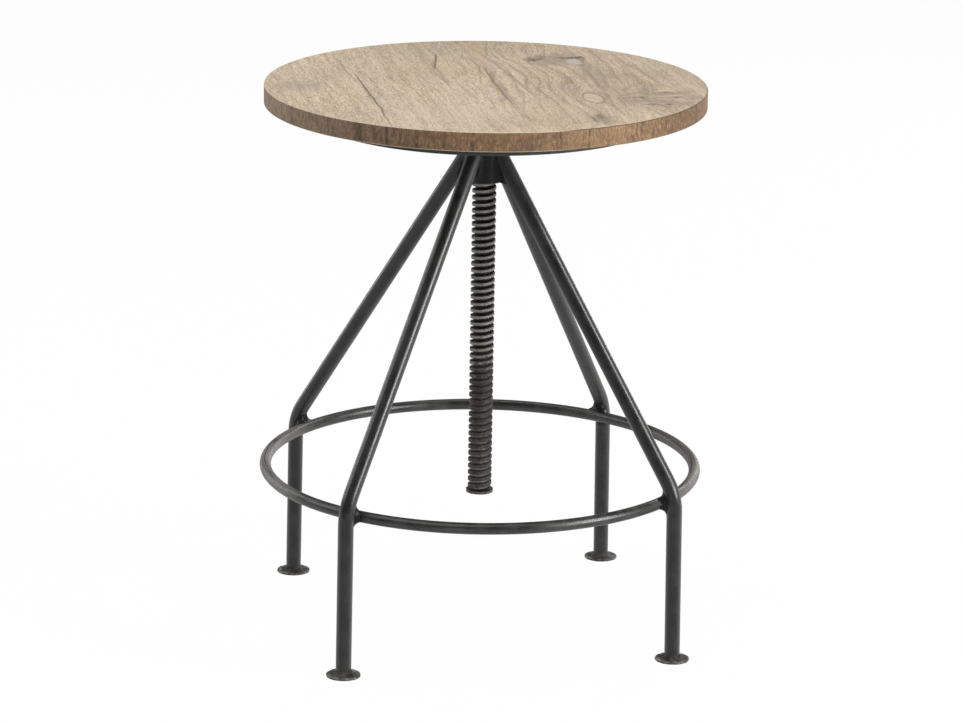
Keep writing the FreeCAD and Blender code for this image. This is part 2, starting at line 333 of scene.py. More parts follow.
# Footrest ring: one round bar, rolled and closed, inside the legs. Rolling has left streaks along it.
# On its left and right sides, as seen from the front, streaky pale patches are painted highlights from the
# side lights, and the coat is rougher there.
low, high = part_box("footrest_ring")
ring_rod = (high.z - low.z) / 2
ring_radius = high.x - ring_rod
ring_height = (high.z + low.z) / 2


def level_reach(tree, place):
    """Distance of a place from the axis of the stool."""
    parts = split(tree, place)
    flat = node(tree, "CombineXYZ", {"X": parts["X"], "Y": parts["Y"]}).outputs["Vector"]
    return node(tree, "VectorMath", {0: flat}, operation="LENGTH").outputs["Value"]


def rightward(tree, place):
    """How far a place lies to the right, as one stands in front of the stool and a little to its left."""
    parts = split(tree, place)
    return maths(tree, "MULTIPLY_ADD", parts["X"], 0.981, times(tree, parts["Y"], -0.193))


ring_steel, tree, shader = new_material("Ring steel")
place = node(tree, "TexCoord", {}).outputs["Object"]
turned = node(tree, "Mapping", {"Vector": place, "Rotation": (0, 0, -LEG_ANGLES[0])}).outputs["Vector"]
parts = split(tree, turned)
angle = maths(tree, "ARCTAN2", parts["X"], parts["Y"])
bent = {"X": times(tree, angle, ring_radius), "Y": level_reach(tree, place), "Z": parts["Z"]}
along_ring = node(tree, "CombineXYZ", bent).outputs["Vector"]
inputs = {"Place": along_ring, "Dark": colour(22, 22, 22), "Pale": colour(54, 53, 52), "Specks": 0.2}
finish = use_group(tree, blackened, inputs)
streaks = noise(tree, along_ring, (0.05, 0.0013, 0.0013), 4.0, 0.65)
right = rightward(tree, place)
# Pale streaky patches at the left and right ends: painted highlights from the side lights.
left_painted_highlight = times(tree, step(tree, right, -0.150, -0.190), step(tree, streaks, 0.30, 0.55))
right_painted_highlight = times(tree, step(tree, right, 0.150, 0.190), step(tree, streaks, 0.30, 0.55))
tone = mixed(tree, times(tree, left_painted_highlight, 0.75), finish["Colour"], colour(134, 132, 128))
tone = mixed(tree, times(tree, right_painted_highlight, 0.75), tone, colour(116, 111, 104))
tone = mixed(tree, times(tree, step(tree, streaks, 0.52, 0.70), 0.3), tone, colour(112, 109, 104))
tone = mixed(tree, times(tree, step(tree, streaks, 0.46, 0.32), 0.6), tone, colour(26, 25, 24))
tree.links.new(tone, shader.inputs["Base Color"])
painted_highlight_sides = maths(tree, "MAXIMUM", left_painted_highlight, right_painted_highlight)
roughness = maths(tree, "ADD", finish["Roughness"], maths(tree, "MULTIPLY_ADD", painted_highlight_sides, 0.25, -0.02))
tree.links.new(roughness, shader.inputs["Roughness"])
shader.inputs["Specular IOR Level"].default_value = 0.7
bump(tree, shader, maths(tree, "MULTIPLY_ADD", streaks, 0.5, finish["Height"]), 0.00012)
paint(ring_steel, nodes["footrest_ring"])


# Ring welds: metal in the crevice between the ring and every leg, on all sides of the point where they
# touch. It is black and a little lumpy.
def turned_copies(pattern, angles):
    """Copies of a piece turned about the axis of the stool, each with its own mesh."""
    copies = []
    for angle in angles:
        copy = pattern.copy()
        copy.data = pattern.data.copy()
        copy.rotation_euler = (0, 0, angle)
        bpy.context.scene.collection.objects.link(copy)
        copies.append(copy)
    bpy.data.objects.remove(pattern)
    return copies


def ball(place, radius):
    """A ball at a place."""
    bpy.ops.object.select_all(action="DESELECT")
    bpy.ops.mesh.primitive_uv_sphere_add(segments=48, ring_count=24, radius=radius, location=place)
    bpy.ops.object.transform_apply(location=True, rotation=True, scale=True)
    return bpy.context.object


RING_CORNER = 0.0055
WELD_REACH = 0.018
WELD_TRIM = 0.003
FINE_VOXEL = 0.0005
crevice_reach = ring_radius + ring_rod
crevice = (crevice_reach * math.cos(LEG_ANGLES[0]), crevice_reach * math.sin(LEG_ANGLES[0]), ring_height)
crossing_parts = [node_copy("footrest_ring"), node_copy("leg_front_right")]
for part in crossing_parts:
    trim(part, ball(crevice, WELD_REACH), "INTERSECT")
pattern = weld_metal("ring_weld", crossing_parts, RING_CORNER, FINE_VOXEL, BEAD_SINK)
trim(pattern, ball(crevice, WELD_REACH - WELD_TRIM), "INTERSECT")
quarter_turns = [angle - LEG_ANGLES[0] for angle in LEG_ANGLES]
ring_beads = joined("ring_weld_beads", turned_copies(pattern, quarter_turns))
roughen(ring_beads, height=0.0006, size=0.004)
bpy.ops.object.shade_smooth()
weld_steel = black_steel(
    "Weld metal",
    dark=colour(9, 9, 9),
    pale=colour(22, 21, 21),
    specks=0.08,
    relief=0.0003,
    gloss=0.25,
)
fit_piece(ring_beads, "frame", "black_steel", weld_steel, "ring_welds")


# Feet: small discs of thin plate under the legs, hammered on top, with pale rubbed specks and a
# dark rim. They lie flat on the floor.
FOOT_SINK = 0.0008
low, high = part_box("foot_front_right")
foot_radius = (high.x - low.x) / 2
foot_middle = ((low.x + high.x) / 2, (low.y + high.y) / 2)
foot_pattern = rod(foot_radius, -FOOT_SINK, high.z, foot_middle)
reshape(foot_pattern, "REMESH", mode="VOXEL", voxel_size=FINE_VOXEL)
reshape(foot_pattern, "SMOOTH", factor=0.5, iterations=3)
foot_steel, tree, shader = new_material("Foot steel")
place = node(tree, "TexCoord", {}).outputs["Object"]
inputs = {"Place": place, "Dark": colour(56, 55, 53), "Pale": colour(116, 114, 110), "Specks": 0.3}
finish = use_group(tree, blackened, inputs)
dents = noise(tree, place, (0.0034, 0.0034, 0.0034), 3.0, 0.6)
tone = mixed(tree, times(tree, step(tree, dents, 0.46, 0.34), 0.8), finish["Colour"], colour(28, 27, 25))
tone = mixed(tree, times(tree, step(tree, dents, 0.56, 0.66), 0.7), tone, colour(176, 172, 165))
rim = step(tree, split(tree, place)["Z"], high.z * 0.75, high.z * 0.45)
tone = mixed(tree, times(tree, rim, 0.75), tone, colour(30, 29, 27))
tree.links.new(tone, shader.inputs["Base Color"])
tree.links.new(finish["Roughness"], shader.inputs["Roughness"])
bump(tree, shader, maths(tree, "MULTIPLY_ADD", dents, 1.2, finish["Height"]), 0.0005)


def level_bottom(piece):
    """Cuts a piece off level with the floor."""
    only(piece)
    bpy.ops.object.mode_set(mode="EDIT")
    bpy.ops.mesh.select_all(action="SELECT")
    bpy.ops.mesh.bisect(plane_co=(0, 0, 0), plane_no=(0, 0, 1), use_fill=True, clear_inner=True)
    bpy.ops.object.mode_set(mode="OBJECT")


for leg_place, foot in zip(LEG_PLACES, turned_copies(foot_pattern, quarter_turns)):
    foot.name = "hammered_foot_" + leg_place
    only(foot)
    bpy.ops.object.transform_apply(location=True, rotation=True, scale=True)
    roughen(foot, height=0.0009, size=0.005)
    level_bottom(foot)
    bpy.ops.object.shade_smooth_by_angle(angle=math.radians(50))
    fit_piece(foot, "frame", "black_steel", foot_steel, "foot_" + leg_place)


# Foot welds: metal smeared round the ends of the legs, thinning out on their discs.
FOOT_CORNER = 0.0045
SMEAR_RADIUS = 0.0128
SMEAR_SINK = 0.0002
leg_end = node_copy("leg_front_right")
trim(leg_end, rod(foot_radius, -0.002, 0.014, foot_middle), "INTERSECT")
foot_parts = [leg_end, rod(foot_radius, 0.0, high.z, foot_middle)]
pattern = weld_metal("foot_weld", foot_parts, FOOT_CORNER, FINE_VOXEL, SMEAR_SINK)
trim(pattern, rod(SMEAR_RADIUS, 0.0003, 0.010, foot_middle), "INTERSECT")
foot_beads = joined("foot_weld_beads", turned_copies(pattern, quarter_turns))
roughen(foot_beads, height=0.0009, size=0.0035)
bpy.ops.object.shade_smooth()
smear_steel = black_steel(
    "Smeared weld",
    dark=colour(30, 30, 29),
    pale=colour(84, 82, 79),
    specks=0.3,
    relief=0.0003,
    gloss=0.2,
    blur=0.25,
)
fit_piece(foot_beads, "frame", "black_steel", smear_steel, "foot_welds")


# Spindle: a steel screw of coarse, square-shouldered thread. Near the hub its crests are rubbed pale and
# its grooves are painted black as the seat's shade. Further down all is brown, and the grooves and lower
# flanks are painted paler as the white floor's reflection.
THREAD_PITCH = 0.0062
RUBBED_AND_SHADED_FROM = 0.210
RUBBED_AND_SHADED_FULLY = 0.275
FLOOR_REFLECTION_FROM = 0.225
FLOOR_REFLECTION_FULLY = 0.140
thread_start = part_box("spindle")[1].z
thread_steel, tree, shader = new_material("Worn thread, painted shade and reflection")
place = node(tree, "TexCoord", {}).outputs["Object"]
parts = split(tree, place)
turns = maths(tree, "DIVIDE", maths(tree, "ARCTAN2", parts["Y"], parts["X"]), 2 * math.pi)
rise = maths(tree, "DIVIDE", maths(tree, "SUBTRACT", parts["Z"], thread_start), THREAD_PITCH)
winding = maths(tree, "ADD", maths(tree, "SUBTRACT", rise, turns), 0.5)
from_ridge = maths(tree, "SUBTRACT", maths(tree, "FRACT", winding), 0.5)
rubbed = noise(tree, place, (0.006, 0.006, 0.004), 4.0, 0.7)
grit = noise(tree, place, (0.0018, 0.0018, 0.0018), 3.0, 0.7)
upper = step(tree, parts["Z"], RUBBED_AND_SHADED_FROM, RUBBED_AND_SHADED_FULLY)
below_nut = maths(tree, "SUBTRACT", 1.0, upper)
from_band = maths(tree, "ABSOLUTE", maths(tree, "MULTIPLY_ADD", upper, 0.06, from_ridge))
ragged_edge = maths(tree, "MULTIPLY_ADD", grit, 0.24, maths(tree, "ADD", from_band, -0.12))
crest = step(tree, ragged_edge, 0.23, 0.14)
groove = step(tree, ragged_edge, 0.19, 0.29)
worn = times(tree, crest, step(tree, maths(tree, "MULTIPLY_ADD", upper, 0.42, rubbed), 0.62, 0.86))
tone = mixed(tree, step(tree, rubbed, 0.35, 0.65), colour(27, 25, 24), colour(58, 54, 50))
tone = mixed(tree, times(tree, step(tree, grit, 0.50, 0.64), 0.5), tone, colour(92, 87, 80))
tone = mixed(tree, times(tree, step(tree, grit, 0.46, 0.34), 0.5), tone, colour(20, 18, 17))
tone = mixed(tree, times(tree, worn, 0.90), tone, colour(150, 145, 138))
tone = mixed(tree, times(tree, worn, step(tree, grit, 0.46, 0.34), 0.70), tone, colour(44, 41, 39))
# Grooves: painted black as the seat's shade near the hub, and painted paler below, against their own shade.
groove_painted_shade_and_glow = mixed(tree, upper, colour(74, 69, 63), colour(13, 12, 12))
tone = mixed(tree, groove, tone, groove_painted_shade_and_glow)
upper_edge = step(tree, maths(tree, "ABSOLUTE", maths(tree, "ADD", from_ridge, -0.28)), 0.10, 0.04)
tone = mixed(tree, times(tree, upper_edge, below_nut, 0.75), tone, colour(24, 22, 20))
# Lower flanks, below the hub: painted paler as a reflection of the white floor.
flank = maths(tree, "ADD", step(tree, from_ridge, -0.19, -0.28), step(tree, from_ridge, 0.40, 0.46))
floor_reflection = times(tree, step(tree, parts["Z"], FLOOR_REFLECTION_FROM, FLOOR_REFLECTION_FULLY), step(tree, grit, 0.38, 0.56))
tone = mixed(tree, times(tree, flank, floor_reflection, 0.85), tone, colour(158, 155, 149))
tree.links.new(tone, shader.inputs["Base Color"])
tree.links.new(maths(tree, "MULTIPLY_ADD", rubbed, 0.25, 0.34), shader.inputs["Roughness"])
tree.links.new(times(tree, worn, 0.3), shader.inputs["Metallic"])
bump(tree, shader, maths(tree, "MULTIPLY_ADD", grit, 0.6, rubbed), 0.0010)
paint(thread_steel, nodes["spindle"])


# Seat plate: a flat steel disc with a hoop of flat bar under its rim, and the bead that holds the
# spindle's neck to it. All of it is under the wood and has the frame's charcoal coat.
plate_steel = black_steel(
    "Plate steel",
    dark=colour(30, 30, 31),
    pale=colour(50, 50, 51),
    specks=0.12,
    relief=0.00018,
)
paint(plate_steel, nodes["seat_plate"], nodes["plate_hoop"])
paint(weld_steel, nodes["spindle_weld"])


# Stop washer: a turned disc, loose on the spindle's lower end, with its rim rubbed paler.
washer_steel, tree, shader = new_material("Washer steel")
place = node(tree, "TexCoord", {}).outputs["Object"]
inputs = {"Place": place, "Dark": colour(32, 30, 28), "Pale": colour(66, 62, 57), "Specks": 0.5}
finish = use_group(tree, blackened, inputs)
rubs = step(tree, noise(tree, place, (0.004, 0.004, 0.004)), 0.35, 0.6)
rim = times(tree, step(tree, level_reach(tree, place), 0.0114, 0.0123), rubs, 0.5)
tone = mixed(tree, rim, finish["Colour"], colour(104, 99, 92))
tree.links.new(tone, shader.inputs["Base Color"])
tree.links.new(finish["Roughness"], shader.inputs["Roughness"])
bump(tree, shader, finish["Height"], 0.0003)
paint(washer_steel, nodes["stop_washer"])


# End screw: a zinc-plated countersunk screw with a cross recess, flush with the washer's underside.
zinc, tree, shader = new_material("Zinc plate")
place = node(tree, "TexCoord", {}).outputs["Object"]
spangle = noise(tree, place, (0.0015, 0.0015, 0.0015), 3.0)
plating = mixed(tree, spangle, colour(150, 150, 148), colour(196, 196, 192))
tree.links.new(plating, shader.inputs["Base Color"])
tree.links.new(maths(tree, "MULTIPLY_ADD", spangle, 0.25, 0.25), shader.inputs["Roughness"])
shader.inputs["Metallic"].default_value = 1.0
bump(tree, shader, spangle, 0.0001)


def cross_recess(piece, place, length, width, depth):
    """Cuts a cross into the lower face of a screw's head at a place."""
    size = (length, width, 2 * depth)
    for turn in (0, math.pi / 2):
        bpy.ops.object.select_all(action="DESELECT")
        bpy.ops.mesh.primitive_cube_add(size=1.0, location=place, rotation=(0, 0, turn), scale=size)
        trim(piece, bpy.context.object, "DIFFERENCE")


low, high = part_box("end_screw")
END_SHANK = 0.0025
END_HEAD = 0.0047
END_SHANK_START = 0.001
bpy.ops.object.select_all(action="DESELECT")
bpy.ops.mesh.primitive_cone_add(
    vertices=48,
    radius1=END_HEAD,
    radius2=END_SHANK,
    depth=END_HEAD - END_SHANK,
    location=(0, 0, low.z + (END_HEAD - END_SHANK) / 2),
)
end_head = bpy.context.object
bpy.ops.mesh.primitive_cylinder_add(
    vertices=48,
    radius=END_SHANK,
    depth=high.z - low.z - END_SHANK_START,
    location=(0, 0, (low.z + high.z + END_SHANK_START) / 2),
)
end_piece = joined("cross_end_screw", [end_head, bpy.context.object])
cross_recess(end_piece, (0, 0, low.z), length=0.0052, width=0.0011, depth=0.0009)
only(end_piece)
bpy.ops.object.shade_smooth_by_angle(angle=math.radians(35))
fit_piece(end_piece, "seat", "screw_zinc", zinc, "end_screw")


# Seat screws: six zinc-plated pan-head wood screws that hold the plate to the board from below.
SCREW_RING = 0.120
SCREW_HEAD = 0.00375
SCREW_SHANK = 0.00175
low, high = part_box("seat_screws")
plate_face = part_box("seat_plate")[0].z
head_height = plate_face - low.z
bpy.ops.object.select_all(action="DESELECT")
bpy.ops.mesh.primitive_cylinder_add(
    vertices=48, radius=SCREW_HEAD, depth=head_height, location=(SCREW_RING, 0, low.z + head_height / 2)
)
screw_head = bpy.context.object
bpy.ops.object.transform_apply(location=True, rotation=True, scale=True)
reshape(screw_head, "BEVEL", width=head_height * 0.45, segments=4, limit_method="ANGLE")
bpy.ops.mesh.primitive_cylinder_add(
    vertices=32,
    radius=SCREW_SHANK,
    depth=high.z - plate_face,
    location=(SCREW_RING, 0, (high.z + plate_face) / 2),
)
screw_pattern = joined("seat_screw", [screw_head, bpy.context.object])
cross_recess(screw_pattern, (SCREW_RING, 0, low.z), length=0.0042, width=0.0009, depth=0.0010)
sixths = [math.radians(60 * number) for number in range(6)]
screw_heads = joined("cross_seat_screws", turned_copies(screw_pattern, sixths))
bpy.ops.object.shade_smooth_by_angle(angle=math.radians(35))
fit_piece(screw_heads, "seat", "screw_zinc", zinc, "seat_screws")


# Wooden seat: one round board of greyed, oiled hardwood, its grain from back to front, sawn to a
# circle, sanded, and eased on its arrises. It has old splits, knots and pin holes, some of them filled.
ARRIS = 0.0011
low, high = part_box("seat_board")
seat_top = high.z
seat_radius = high.x
bpy.ops.object.select_all(action="DESELECT")
bpy.ops.mesh.primitive_cylinder_add(
    vertices=256, radius=seat_radius, depth=high.z - low.z, location=(0, 0, (low.z + high.z) / 2)
)
board = bpy.context.object
board.name = "seat_board_split"
bpy.ops.object.transform_apply(location=True, rotation=True, scale=True)
reshape(board, "BEVEL", width=ARRIS, segments=4, limit_method="ANGLE", angle_limit=math.radians(45))


def carve(middle, half_sizes, lean=0.0, sway=0.0):
    """Cuts a long hollow into the seat's top, leaning from the grain and swaying to its sides."""
    half_width, half_length, depth = half_sizes
    bpy.ops.object.select_all(action="DESELECT")
    bpy.ops.mesh.primitive_uv_sphere_add(segments=16, ring_count=48, radius=1.0)
    cutter = bpy.context.object
    cutter.scale = (half_width, depth, half_length)
    cutter.rotation_euler = (math.pi / 2, 0, -math.atan(lean))
    cutter.location = (middle[0], middle[1], seat_top)
    bpy.ops.object.transform_apply(location=True, rotation=True, scale=True)
    if sway:
        roughen(cutter, sway, 0.03, "X")
    trim(board, cutter, "DIFFERENCE")


LONG_SPLIT = (-0.1115, -0.048)
LONG_SPLIT_LEAN = 0.015
SHORT_SPLIT = (-0.0275, 0.1055)
SHORT_SPLIT_LEAN = 0.19
carve(LONG_SPLIT, (0.0011, 0.112, 0.0006), LONG_SPLIT_LEAN, 0.006)
carve(SHORT_SPLIT, (0.0013, 0.036, 0.0007), SHORT_SPLIT_LEAN, 0.002)
PIN_HOLES = ((0.128, -0.072), (0.153, -0.052), (0.159, -0.074), (0.131, -0.101), (0.145, -0.103))
for pin_hole in PIN_HOLES:
    carve(pin_hole, (0.0014, 0.0020, 0.0008))
only(board)
bpy.ops.object.shade_smooth_by_angle(angle=math.radians(30))

grain_mark, given, result = new_group(
    "Mark along the grain",
    {
        "Across": "Float",
        "Along": "Float",
        "Middle Across": "Float",
        "Middle Along": "Float",
        "Half Width": "Float",
        "Half Length": "Float",
        "Lean": "Float",
    },
    {"Mask": "Float"},
)
along = maths(grain_mark, "SUBTRACT", given["Along"], given["Middle Along"])
across = maths(grain_mark, "SUBTRACT", given["Across"], given["Middle Across"])
across = maths(grain_mark, "SUBTRACT", across, times(grain_mark, along, given["Lean"]))
share = maths(grain_mark, "DIVIDE", along, given["Half Length"])
taper = maths(grain_mark, "SUBTRACT", 1.0, times(grain_mark, share, share))
width = maths(grain_mark, "MAXIMUM", times(grain_mark, taper, given["Half Width"]), 1e-6)
depth = maths(grain_mark, "DIVIDE", maths(grain_mark, "ABSOLUTE", across), width)
grain_mark.links.new(step(grain_mark, depth, 1.0, 0.2), result["Mask"])

oval_field, given, result = new_group(
    "Distance from an oval",
    {
        "X": "Float",
        "Y": "Float",
        "Middle X": "Float",
        "Middle Y": "Float",
        "Half Width": "Float",
        "Half Length": "Float",
    },
    {"Distance": "Float"},
)
offset = maths(oval_field, "SUBTRACT", given["X"], given["Middle X"])
x_share = maths(oval_field, "DIVIDE", offset, given["Half Width"])
offset = maths(oval_field, "SUBTRACT", given["Y"], given["Middle Y"])
y_share = maths(oval_field, "DIVIDE", offset, given["Half Length"])
flat = node(oval_field, "CombineXYZ", {"X": x_share, "Y": y_share}).outputs["Vector"]
distance = node(oval_field, "VectorMath", {0: flat}, operation="LENGTH").outputs["Value"]
oval_field.links.new(distance, result["Distance"])

seat_wood, tree, shader = new_material("Greyed hardwood")
texture_place = node(tree, "TexCoord", {}).outputs
place = texture_place["Object"]
parts = split(tree, place)
x, y, z = parts["X"], parts["Y"], parts["Z"]


def oval(middle_x, middle_y, half_width, half_length):
    """Distance from the middle of an oval on the seat, 1 at its rim."""
    inputs = {
        "X": x,
        "Y": y,
        "Middle X": middle_x,
        "Middle Y": middle_y,
        "Half Width": half_width,
        "Half Length": half_length,
    }
    return use_group(tree, oval_field, inputs)["Distance"]


def patch(middle_x, middle_y, half_width, half_length):
    """Mask of a soft oval patch on the seat."""
    return step(tree, oval(middle_x, middle_y, half_width, half_length), 1.0, 0.1)


# The grain sways, and parts round the knots.
PLUG = (0.084, -0.069)
RAGGED_KNOT = (0.088, 0.101)
SWIRL = (0.143, -0.083)
sway = maths(tree, "MULTIPLY_ADD", noise(tree, place, (0.09, 0.20, 0.1), 2.0), 0.012, -0.006)
ripple = maths(tree, "MULTIPLY_ADD", noise(tree, place, (0.020, 0.05, 0.03), 2.0), 0.006, -0.003)
across = maths(tree, "ADD", x, maths(tree, "ADD", sway, ripple))
for middle_x, middle_y, half_width, half_length in (
    (*PLUG, 0.022, 0.05),
    (*RAGGED_KNOT, 0.03, 0.05),
    (*SWIRL, 0.03, 0.05),
):
    distance = oval(middle_x, middle_y, half_width, half_length)
    nearness = maths(tree, "EXPONENT", times(tree, distance, distance, -1.0))
    push = times(tree, maths(tree, "SUBTRACT", x, middle_x), nearness)
    across = maths(tree, "MULTIPLY_ADD", push, -0.8, across)
grain_place = node(tree, "CombineXYZ", {"X": across, "Y": y, "Z": z}).outputs["Vector"]


def mark(middle_x, middle_y, half_width, half_length, lean):
    """Mask of a long mark on the seat that follows the grain."""
    inputs = {
        "Across": maths(tree, "ADD", x, ripple),
        "Along": y,
        "Middle Across": middle_x,
        "Middle Along": middle_y,
        "Half Width": half_width,
        "Half Length": half_length,
        "Lean": lean,
    }
    return use_group(tree, grain_mark, inputs)["Mask"]


# Growth bands, fibres, threads and flecks, from wide to fine, then blotches of grey and of warm brown.
bands = noise(tree, grain_place, (0.012, 0.28, 0.08), 3.0, 0.55)
fibres = noise(tree, grain_place, (0.0030, 0.055, 0.01), 4.0, 0.6)
threads = noise(tree, grain_place, (0.0013, 0.018, 0.004), 2.0)
flecks = noise(tree, grain_place, (0.0009, 0.0046, 0.003), 2.0)
blotches = noise(tree, place, (0.05, 0.09, 0.1), 3.0)
figure = maths(tree, "MULTIPLY_ADD", fibres, 0.55, times(tree, bands, 0.45))
tone = mixed(tree, step(tree, figure, 0.36, 0.64), colour(187, 168, 142), colour(209, 191, 166))
tone = mixed(tree, times(tree, step(tree, blotches, 0.42, 0.68), 0.5), tone, colour(184, 172, 155))
tone = mixed(tree, times(tree, step(tree, fibres, 0.46, 0.32), 0.40), tone, colour(142, 122, 101))
tone = mixed(tree, times(tree, step(tree, threads, 0.49, 0.33), 0.32), tone, colour(146, 123, 99))
tone = mixed(tree, times(tree, step(tree, threads, 0.53, 0.69), 0.22), tone, colour(232, 216, 193))
tone = mixed(tree, times(tree, step(tree, flecks, 0.48, 0.34), 0.54), tone, colour(132, 110, 90))
tone = mixed(tree, times(tree, step(tree, flecks, 0.53, 0.67), 0.42), tone, colour(238, 222, 199))
for middle_x, middle_y, half_width, half_length, share, tint in (
    (0.035, -0.125, 0.050, 0.095, 0.25, colour(200, 174, 146)),
    (-0.030, 0.075, 0.045, 0.070, 0.30, colour(190, 166, 136)),
    (0.145, -0.080, 0.050, 0.070, 0.30, colour(168, 154, 140)),
    (-0.172, 0.014, 0.035, 0.030, 0.55, colour(160, 146, 131)),
    (-0.060, -0.120, 0.090, 0.080, 0.30, colour(200, 186, 170)),
    (0.020, 0.145, 0.014, 0.060, 0.40, colour(206, 178, 138)),
):
    share = times(tree, patch(middle_x, middle_y, half_width, half_length), share)
    tone = mixed(tree, share, tone, tint)
# Four broad patches, on the right, at the back, at the front middle and left of the middle, multiplied
# darker: painted shade where the light falls off across the top.
for middle_x, middle_y, half_width, half_length, share in (
    (0.140, -0.020, 0.170, 0.240, 1.00),
    (0.030, 0.190, 0.170, 0.120, 1.00),
    (0.010, -0.160, 0.110, 0.085, 0.60),
    (-0.050, 0.062, 0.120, 0.070, 0.50),
):
    share = times(tree, patch(middle_x, middle_y, half_width, half_length), share)
    tone = mixed(tree, share, tone, (0.80, 0.79, 0.77, 1.0), "MULTIPLY")

# Clouds of grey and of honey on the right, where the wood grew round a branch.
clouds = noise(tree, grain_place, (0.018, 0.050, 0.1), 3.0, 0.6)
branch_side = patch(0.125, 0.000, 0.110, 0.210)
grey_clouds = times(tree, branch_side, step(tree, clouds, 0.50, 0.34), 0.50)
tone = mixed(tree, grey_clouds, tone, colour(150, 134, 118))
honey_clouds = times(tree, branch_side, step(tree, clouds, 0.52, 0.68), 0.40)
tone = mixed(tree, honey_clouds, tone, colour(216, 195, 166))

# Growth lines that curve like flames, clearest from the middle to the right.
curving = noise(tree, grain_place, (0.05, 0.20, 0.1), 2.0)
late_wood = maths(tree, "MULTIPLY_ADD", curving, 4.5, times(tree, across, 75.0))
late_wood = step(tree, maths(tree, "FRACT", late_wood), 0.55, 0.97)
clear = maths(tree, "MULTIPLY_ADD", patch(0.075, 0.020, 0.140, 0.200), 0.32, 0.14)
tone = mixed(tree, times(tree, late_wood, clear), tone, colour(128, 108, 88))

# Heart streak, with a dark thread along its left side, fainter lines beside it, and the stains along
# the two splits.
heart = times(tree, mark(0.0115, -0.004, 0.0060, 0.115, 0.03), 0.42)
tone = mixed(tree, heart, tone, colour(134, 117, 102))
for middle_x, middle_y, half_width, half_length, lean, share in (
    (0.0085, -0.022, 0.0022, 0.095, 0.03, 0.60),
    (0.029, 0.035, 0.0034, 0.075, -0.05, 0.34),
    (0.099, -0.045, 0.0030, 0.090, 0.06, 0.24),
    (0.104, 0.045, 0.0034, 0.055, 0.10, 0.24),
    (-0.116, 0.095, 0.0026, 0.060, -0.02, 0.32),
    (0.027, 0.142, 0.0026, 0.030, 0.20, 0.38),
    (0.150, 0.060, 0.0030, 0.060, -0.12, 0.20),
    (-0.060, -0.060, 0.0024, 0.080, 0.03, 0.20),
    (-0.033, 0.040, 0.0026, 0.060, 0.05, 0.24),
    (*LONG_SPLIT, 0.0046, 0.118, LONG_SPLIT_LEAN, 0.26),
    (*SHORT_SPLIT, 0.0040, 0.042, SHORT_SPLIT_LEAN, 0.26),
):
    line = times(tree, mark(middle_x, middle_y, half_width, half_length, lean), share)
    tone = mixed(tree, line, tone, colour(104, 87, 73))

# Knots: a ragged one with dark fragments and a pale filled corner, a plugged oval one, a smudge by the
# front edge, a fan of grey rays and a veil beside the plug, and a small swirl with pin holes.
ragged = maths(tree, "MULTIPLY_ADD", noise(tree, place, (0.011, 0.011, 0.01), 4.0, 0.65), 1.8, -0.9)
shreds = step(tree, noise(tree, place, (0.0055, 0.0075, 0.01), 4.0, 0.7), 0.48, 0.60)
knot = maths(tree, "ADD", oval(0.084, 0.099, 0.034, 0.030), ragged)
tone = mixed(tree, times(tree, step(tree, knot, 1.20, 0.25), 0.80), tone, colour(150, 134, 121))
for middle_x, middle_y, half_width, half_length in (
    (0.064, 0.106, 0.010, 0.012),
    (0.074, 0.116, 0.009, 0.006),
    (0.098, 0.108, 0.012, 0.006),
    (0.109, 0.103, 0.0050, 0.013),
):
    fragment = oval(middle_x, middle_y, half_width, half_length)
    fragment = step(tree, maths(tree, "ADD", fragment, times(tree, ragged, 0.9)), 1.15, 0.55)
    fragment = times(tree, fragment, maths(tree, "MULTIPLY_ADD", shreds, 0.75, 0.25))
    tone = mixed(tree, fragment, tone, colour(66, 56, 51))
filler = maths(tree, "ADD", oval(0.100, 0.091, 0.0076, 0.013), times(tree, ragged, 0.9))
tone = mixed(tree, times(tree, step(tree, filler, 1.10, 0.70), 0.75), tone, colour(180, 172, 162))
plug = oval(*PLUG, 0.0082, 0.0205)
tone = mixed(tree, times(tree, step(tree, plug, 1.05, 0.95), 0.50), tone, colour(198, 181, 161))
plug_rim = maths(tree, "SUBTRACT", step(tree, plug, 1.26, 1.06), step(tree, plug, 1.04, 0.92))
tone = mixed(tree, times(tree, plug_rim, 0.70), tone, colour(116, 97, 80))
smudge = maths(tree, "ADD", oval(0.073, -0.158, 0.013, 0.030), times(tree, ragged, 0.8))
tone = mixed(tree, times(tree, step(tree, smudge, 1.20, 0.2), 0.70), tone, colour(140, 125, 111))
for middle_x, middle_y, half_width, half_length in (
    (0.0735, -0.146, 0.0035, 0.013),
    (0.066, -0.160, 0.002, 0.016),
):
    smudge = maths(tree, "ADD", oval(middle_x, middle_y, half_width, half_length), times(tree, ragged, 0.9))
    tone = mixed(tree, times(tree, step(tree, smudge, 1.30, 0.5), 0.45), tone, colour(90, 77, 67))
fan_angle = maths(tree, "ARCTAN2", maths(tree, "ADD", y, 0.078), maths(tree, "SUBTRACT", x, 0.096))
fan_place = node(tree, "CombineXYZ", {"X": fan_angle, "Y": x}).outputs["Vector"]
rays = noise(tree, fan_place, (0.22, 0.050, 1.0), 3.0, 0.6)
fan = times(tree, patch(0.146, -0.072, 0.066, 0.085), step(tree, x, 0.098, 0.112))
tone = mixed(tree, times(tree, fan, step(tree, rays, 0.44, 0.62), 0.70), tone, colour(140, 126, 114))
tone = mixed(tree, times(tree, fan, step(tree, rays, 0.46, 0.34), 0.45), tone, colour(200, 182, 158))
veil = times(tree, mark(0.1045, 0.015, 0.0110, 0.095, 0.08), 0.34)
tone = mixed(tree, veil, tone, colour(140, 126, 114))
swirl = maths(tree, "ADD", oval(*SWIRL, 0.030, 0.038), times(tree, ragged, 0.6))
rings = maths(tree, "ABSOLUTE", maths(tree, "SINE", times(tree, swirl, 8.0)))
